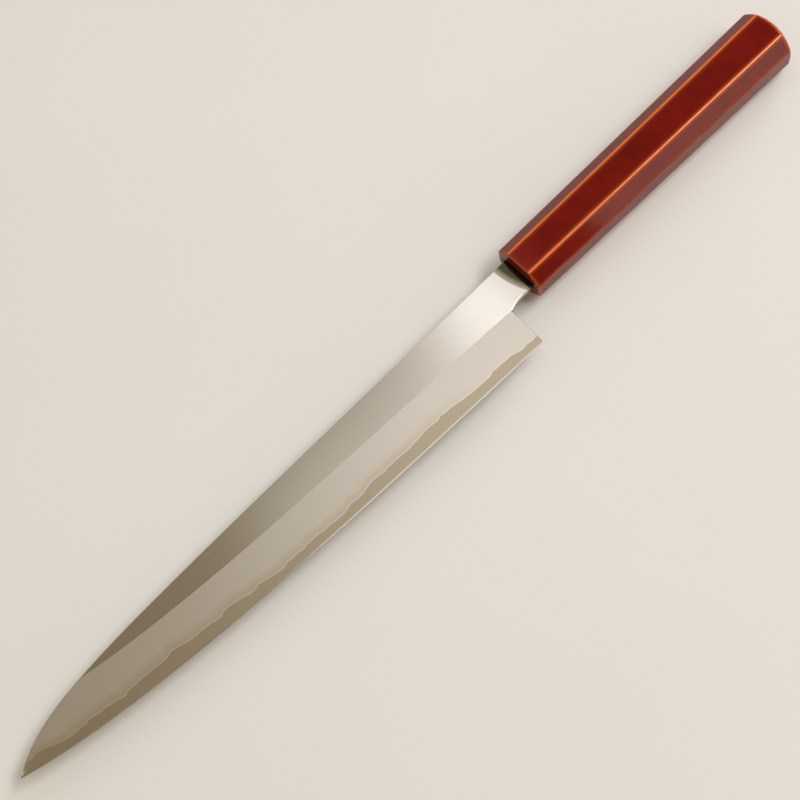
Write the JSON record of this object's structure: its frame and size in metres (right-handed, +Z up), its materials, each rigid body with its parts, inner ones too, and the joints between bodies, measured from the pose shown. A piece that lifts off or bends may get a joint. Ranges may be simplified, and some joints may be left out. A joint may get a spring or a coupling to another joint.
{
  "type": "sujihiki knife",
  "caption": "Long slender slicing knife with a laminated steel blade, a wide ground bevel and a wavy core line, a hidden tang and a tapered octagonal handle in red-brown lacquer.",
  "frame": {"origin": "under the middle of the knife's box, on the surface that the knife lies on", "axes": "+X runs along the knife to the butt, +Y to the spine, +Z up, square to the blade's face"},
  "size_m": [0.438, 0.0416, 0.0227],
  "materials": {
    "core_steel": "fine ground, slightly darker than the cladding",
    "cladding_steel": "satin ground along and across the blade",
    "handle_wood": "plain sawn, hidden under the lacquer",
    "lacquer": "polished translucent red-brown lacquer, orange where it thins at the corners",
    "tang_adhesive": "hardened resin"
  },
  "bodies": {
    "root": {"core_steel": "core_steel", "cladding_front": "cladding_steel", "cladding_back": "cladding_steel", "handle_wood": "handle_wood", "lacquer_coat": "lacquer", "tang_bedding": "tang_adhesive"}
  },
  "joints": []
}
